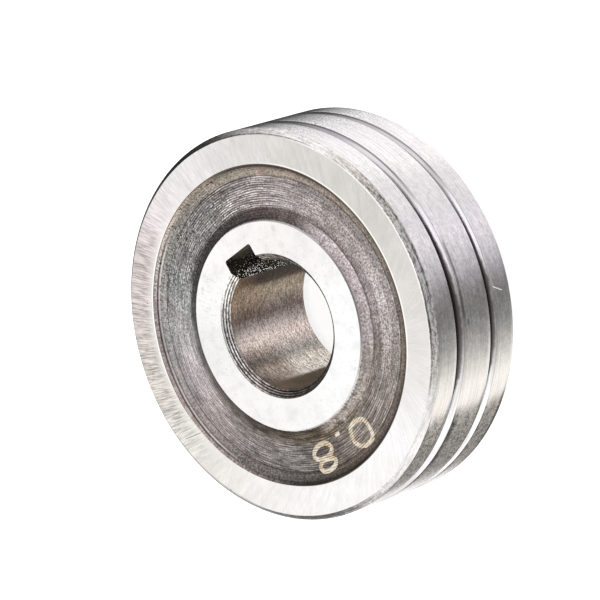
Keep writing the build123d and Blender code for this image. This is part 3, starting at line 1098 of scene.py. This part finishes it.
def on_face(photo_angle, x, y, lift):
    """Point of the recess floor under a point of a mark's flat frame."""
    a = turned(photo_angle)
    px = y * math.cos(a) + x * math.sin(a)
    py = y * math.sin(a) - x * math.cos(a)
    return (px, py, recess_height(math.hypot(px, py)) + lift * MARK_LIFT)


def smooth_loop(points):
    """Closed curve through a few points, with the same number of places from each point to the next."""
    result = []
    for i in range(len(points)):
        a, b, c, d = (np.array(points[(i + k) % len(points)]) for k in (-1, 0, 1, 2))
        for j in range(LOOP_STEPS):
            t = j / LOOP_STEPS
            square = (2 * a - 5 * b + 4 * c - d) * t ** 2
            cube = (3 * b - a - 3 * c + d) * t ** 3
            result.append(0.5 * (2 * b + (c - a) * t + square + cube))
    return result


def mark_mesh():
    """Thin strokes of the size mark, closed below the surface of the recess."""
    verts, faces = [], []
    m = len(MARK_SECTION)
    for photo_angle, points in MARK_LOOPS:
        line = smooth_loop(points)
        base, n = len(verts), len(line)
        for i in range(n):
            along = line[(i + 1) % n] - line[i - 1]
            side = np.array([along[1], -along[0]]) / np.linalg.norm(along)
            spot = Vector((*(line[i] * MARK_CELLS), photo_angle))
            ragged = 1.0 + MARK_RAGGED * noise.noise(spot)
            for across, lift in MARK_SECTION:
                x, y = line[i] + side * across * MARK_STROKE * ragged
                verts.append(on_face(photo_angle, x, y, lift))
        for i in range(n):
            here, there = base + i * m, base + ((i + 1) % n) * m
            for j in range(m):
                k = (j + 1) % m
                faces.append((here + j, here + k, there + k, there + j))
    angle, radius, half_x, half_y = MARK_POINT
    base = len(verts)
    for k in range(POINT_STEPS):
        t = math.tau * k / POINT_STEPS
        c, s = math.cos(t), math.sin(t)
        x = math.copysign(abs(c) ** 0.5, c) * half_x
        y = math.copysign(abs(s) ** 0.5, s) * half_y
        for share_x, share_y, lift in POINT_RINGS:
            verts.append(on_face(angle, x * share_x, radius + y * share_y, lift))
    for k in range(POINT_STEPS):
        here, there = base + 3 * k, base + 3 * ((k + 1) % POINT_STEPS)
        faces.append((here, there, there + 1, here + 1))
        faces.append((here + 2, there + 2, there, here))
    faces.append(tuple(base + 3 * k + 1 for k in range(POINT_STEPS)))
    faces.append(tuple(base + 3 * k + 2 for k in range(POINT_STEPS))[::-1])
    return mesh_of("size_mark", verts, faces)


def object_of(data):
    """A mesh or a camera as an object of the scene."""
    made = bpy.data.objects.new(data.name, data)
    bpy.context.scene.collection.objects.link(made)
    return made


def settled(thing):
    """The mesh of an object with its modifiers carried out; they are removed."""
    graph = bpy.context.evaluated_depsgraph_get()
    result = thing.evaluated_get(graph)
    mesh = bpy.data.meshes.new_from_object(result, preserve_all_data_layers=True, depsgraph=graph)
    thing.modifiers.clear()
    return mesh


# Edges of the body that turn by more than this stay sharp.
SHARP_ANGLE = math.radians(32.0)

body = object_of(body_mesh())
for zone in ZONES:
    body.data.materials.append(finishes[zone])
cutter = object_of(keyway_cutter())
cutter.data.materials.append(finishes["keyway"])
cut = body.modifiers.new("keyway", "BOOLEAN")
cut.object = cutter
cut.operation = "DIFFERENCE"
cut.solver = "EXACT"
cut.material_mode = "TRANSFER"
body.data = settled(body)
body.data.name = "roller_body"
bpy.data.objects.remove(cutter)
body.data.shade_smooth()
body.data.set_sharp_from_angle(angle=SHARP_ANGLE)
weigh = body.modifiers.new("flat_faces", "WEIGHTED_NORMAL")
weigh.keep_sharp = True
body.data = settled(body)
body.name = "roller_body"
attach(body, "root")
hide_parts("feed_roller")

mark = object_of(mark_mesh())
work = bmesh.new()
work.from_mesh(mark.data)
bmesh.ops.recalc_face_normals(work, faces=work.faces)
work.to_mesh(mark.data)
work.free()
mark.data.materials.append(mark_finish())
mark.data.shade_smooth()
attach(mark, "root")

# The surroundings that the steel mirrors, as brightness at azimuths read on the photograph: below the
# roller, level with it, above it and overhead. The colour ramps hold each brightness divided by ENV.
ENV = 1.7
BELOW = [
    (0, 0.56), (3, 0.85), (7, 1.28), (20, 1.3), (30, 1.02), (40, 0.66), (50, 0.42), (60, 0.29), (70, 0.25),
    (80, 0.4), (90, 0.7), (100, 0.9), (112, 1.1), (130, 1.06), (150, 1.15), (165, 1.35), (190, 1.33),
    (200, 1.22), (218, 0.98), (230, 0.56), (240, 0.34), (247, 0.13), (255, 0.18), (263, 0.34), (269, 0.5),
    (275, 0.88), (284, 1.18), (298, 0.92), (310, 0.46), (318, 0.36), (345, 0.4),
]
LEVEL = [
    (0, 0.8), (30, 0.4), (55, 0.14), (110, 0.16), (140, 0.5), (185, 0.9), (206, 0.6), (222, 0.18),
    (236, 0.04), (248, 0.08), (257, 0.3), (270, 0.5), (283, 0.55), (292, 0.5), (304, 0.35), (318, 0.36),
    (334, 0.6),
]
ABOVE = [
    (0, 1.25), (14, 1.22), (36, 0.88), (58, 0.42), (90, 0.45), (118, 0.5), (144, 0.6), (167, 1.04),
    (188, 1.2), (206, 1.0), (230, 1.1), (270, 1.1), (320, 1.1), (345, 1.2),
]
ZENITH = [
    (0, 1.3), (12, 1.25), (26, 0.95), (47, 0.5), (70, 0.4), (88, 0.85), (104, 1.45), (133, 1.45), (155, 1.15),
    (180, 1.2), (235, 1.3), (270, 1.4), (320, 1.35),
]
# Heights, in degrees, between which each pattern passes into the next.
PASSAGES = ((-32.0, -19.0), (0.0, 18.0), (55.0, 64.0))
# The pattern below slants: it turns by SLANT degrees for each degree above a height of -SLANT_FROM.
SLANT = 0.35
SLANT_FROM = 48.0
# A lamp high on the left: its azimuth, its height, its reach at full strength and at none, its brightness.
LAMP_AZIMUTH = turned(270.0)
LAMP_HEIGHT = math.radians(48.0)
LAMP_INNER = math.radians(15.0)
LAMP_OUTER = math.radians(60.0)
LAMP = 1.4


def direction(azimuth, height):
    """Unit vector of an azimuth and a height above the horizon."""
    return (math.cos(azimuth) * math.cos(height), math.sin(azimuth) * math.cos(height), math.sin(height))


def spread(net, azimuth, values):
    """Brightness that changes smoothly with the azimuth."""
    part = net.math("FRACT", net.math("DIVIDE", azimuth, 360.0))
    return net.ramp(part, [(a / 360.0, v / ENV) for a, v in values + [(360.0, values[0][1])]])


def build_world():
    """The studio that the steel mirrors; the camera itself sees plain white."""
    world = bpy.data.worlds.new("studio")
    bpy.context.scene.world = world
    world.use_nodes = True
    net = Net(world.node_tree)
    way = net.node("ShaderNodeTexCoord").outputs["Generated"]
    x, y, z = (net.split(way, axis) for axis in range(3))
    azimuth = net.plus(net.times(net.math("ARCTAN2", y, x), 180.0 / math.pi), KEYWAY_ANGLE)
    height = net.times(net.math("ARCSINE", z), 180.0 / math.pi)
    slanted = net.plus(azimuth, net.times(net.plus(height, SLANT_FROM), SLANT))
    near = net.vector("DOT_PRODUCT", way, direction(LAMP_AZIMUTH, LAMP_HEIGHT))
    glow = net.smooth(near, math.cos(LAMP_OUTER), math.cos(LAMP_INNER))
    level, above, zenith = (spread(net, azimuth, values) for values in (LEVEL, ABOVE, ZENITH))
    above = net.mix(glow, above, LAMP / ENV)
    mixed = spread(net, slanted, BELOW)
    for (low, high), upper in zip(PASSAGES, (level, above, zenith)):
        mixed = net.mix(net.smooth(height, low, high), mixed, upper)
    to_camera = net.node("ShaderNodeLightPath").outputs["Is Camera Ray"]
    mixed = net.mix(to_camera, mixed, 1.0 / ENV)
    back = net.fed("ShaderNodeBackground", {"Strength": ENV, "Color": mixed})
    net.put(net.node("ShaderNodeOutputWorld").inputs[0], back)


build_world()

# The floor: a white paper. Half its side and its drop below the roller are in metres.
FLOOR_HALF = 2.0
FLOOR_DROP = 0.00002
FLOOR_GLOW = 0.75
PAPER_GRAIN = 400.0

floor_mesh = bpy.data.meshes.new("floor")
corners = [(x * FLOOR_HALF, y * FLOOR_HALF, -FLOOR_DROP) for x, y in ((-1, -1), (1, -1), (1, 1), (-1, 1))]
floor_mesh.from_pydata(corners, [], [(0, 1, 2, 3)])
floor = object_of(floor_mesh)
material = bpy.data.materials.new("floor_paper")
material.use_nodes = True
net = Net(material.node_tree)
grain = net.noise(net.node("ShaderNodeTexCoord").outputs["Object"], 3.0, 0.6, 0.0, PAPER_GRAIN)
paper = {
    "Base Color": net.mix(grain, 0.86, 0.9),
    "Roughness": 0.9,
    "Emission Color": as_colour(1.0),
    "Emission Strength": FLOOR_GLOW,
}
surface = net.fed("ShaderNodeBsdfPrincipled", paper)
net.put(net.node("ShaderNodeOutputMaterial").inputs[0], surface)
floor.data.materials.append(material)
floor.visible_glossy = False

# The camera: the photograph's viewing angle, roll and distance, and how far it is moved in its own
# plane from the middle of the front face.
VIEW_AZIMUTH = math.radians(-14.8)
VIEW_ELEVATION = math.radians(48.12)
VIEW_ROLL = math.radians(107.54)
VIEW_DISTANCE = 337.1
VIEW_RIGHT = 1.718
VIEW_UP = 1.968
LENS = 270.4
SENSOR = 36.0
CLIP = (0.01, 20.0)

scene = bpy.context.scene
scene.view_settings.view_transform = "Standard"
back = Vector((math.sin(VIEW_AZIMUTH) * math.cos(VIEW_ELEVATION),
               -math.cos(VIEW_AZIMUTH) * math.cos(VIEW_ELEVATION), math.sin(VIEW_ELEVATION)))
level_up = (Vector((0, 0, 1)) - back * back.z).normalized()
up = level_up * math.cos(VIEW_ROLL) + level_up.cross(back) * math.sin(VIEW_ROLL)
right = up.cross(back)
face = Vector((0.0, 0.0, WIDTH))
spot = (face + right * VIEW_RIGHT + up * VIEW_UP + back * VIEW_DISTANCE) * MM
camera_data = bpy.data.cameras.new("camera")
camera_data.lens = LENS
camera_data.sensor_width = SENSOR
camera_data.clip_start, camera_data.clip_end = CLIP
camera = object_of(camera_data)
camera.matrix_world = Matrix.Translation(spot) @ Matrix((right, up, back)).transposed().to_4x4()
scene.camera = camera
